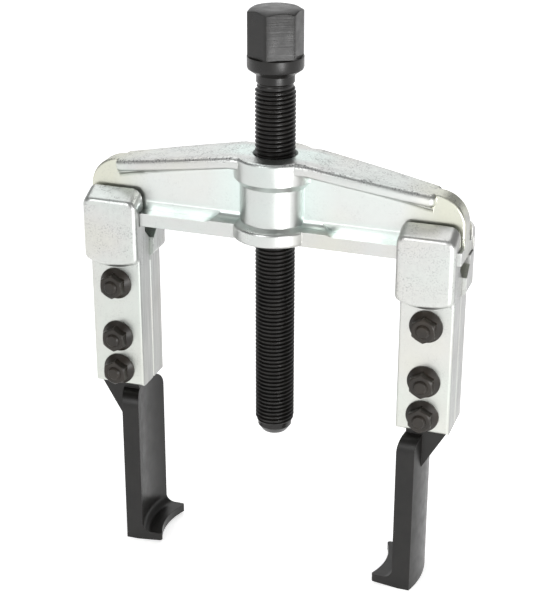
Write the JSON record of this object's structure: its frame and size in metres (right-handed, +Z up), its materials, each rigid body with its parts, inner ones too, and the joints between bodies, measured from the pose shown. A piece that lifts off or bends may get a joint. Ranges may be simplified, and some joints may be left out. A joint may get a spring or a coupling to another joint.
{
  "type": "gear puller",
  "caption": "Two-arm external gear puller: forged I-section crossbeam, fine-threaded centre spindle with hexagon head, and sliding clamped legs with thin curved hooks.",
  "frame": {"origin": "on the spindle's axis, in the plane of the flat undersides of the two hooks, where the puller stands upright", "axes": "+Z up along the spindle, from the thrust ball to the hexagon head; +X along the crossbeam, towards the right leg; +Y towards the bolt heads, with the nuts on the -Y side"},
  "size_m": [0.1376, 0.0304, 0.208],
  "materials": {
    "zinc_plated_steel": "bright zinc plate over forged and milled steel",
    "black_oxide_steel": "satin black oxide",
    "phosphated_fasteners": "dark oiled phosphate",
    "bearing_steel": "ground bearing ball"
  },
  "bodies": {
    "beam": {"crossbeam": "zinc_plated_steel"},
    "ball": {"thrust_ball": "bearing_steel"},
    "screw": {"spindle": "black_oxide_steel"},
    "left_leg": {"left_leg_front_half": "zinc_plated_steel", "left_leg_back_half": "zinc_plated_steel", "left_hook": "black_oxide_steel", "left_upper_bolt": "phosphated_fasteners", "left_middle_bolt": "phosphated_fasteners", "left_lower_bolt": "phosphated_fasteners", "left_upper_nut": "phosphated_fasteners", "left_middle_nut": "phosphated_fasteners", "left_lower_nut": "phosphated_fasteners"},
    "right_leg": {"right_leg_front_half": "zinc_plated_steel", "right_leg_back_half": "zinc_plated_steel", "right_hook": "black_oxide_steel", "right_upper_bolt": "phosphated_fasteners", "right_middle_bolt": "phosphated_fasteners", "right_lower_bolt": "phosphated_fasteners", "right_upper_nut": "phosphated_fasteners", "right_middle_nut": "phosphated_fasteners", "right_lower_nut": "phosphated_fasteners"}
  },
  "joints": [
    {"name": "left_leg_slide", "type": "slide", "parent": "beam", "child": "left_leg", "axis": [1, 0, 0], "range_m": [0, 0.022]},
    {"name": "right_leg_slide", "type": "slide", "parent": "beam", "child": "right_leg", "axis": [-1, 0, 0], "range_m": [0, 0.022]},
    {"name": "spindle_feed", "type": "slide", "parent": "beam", "child": "ball", "axis": [0, 0, 1], "range_m": [-0.024, 0.066]},
    {"name": "spindle_turn", "type": "hinge", "parent": "ball", "child": "screw", "pos_m": [0, 0, 0.14], "axis": [0, 0, 1], "range_deg": [-5761, 15841]}
  ],
  "couplings": [
    {"joint": "spindle_turn", "follows": "spindle_feed", "rad_per_m": 4188.8}
  ]
}
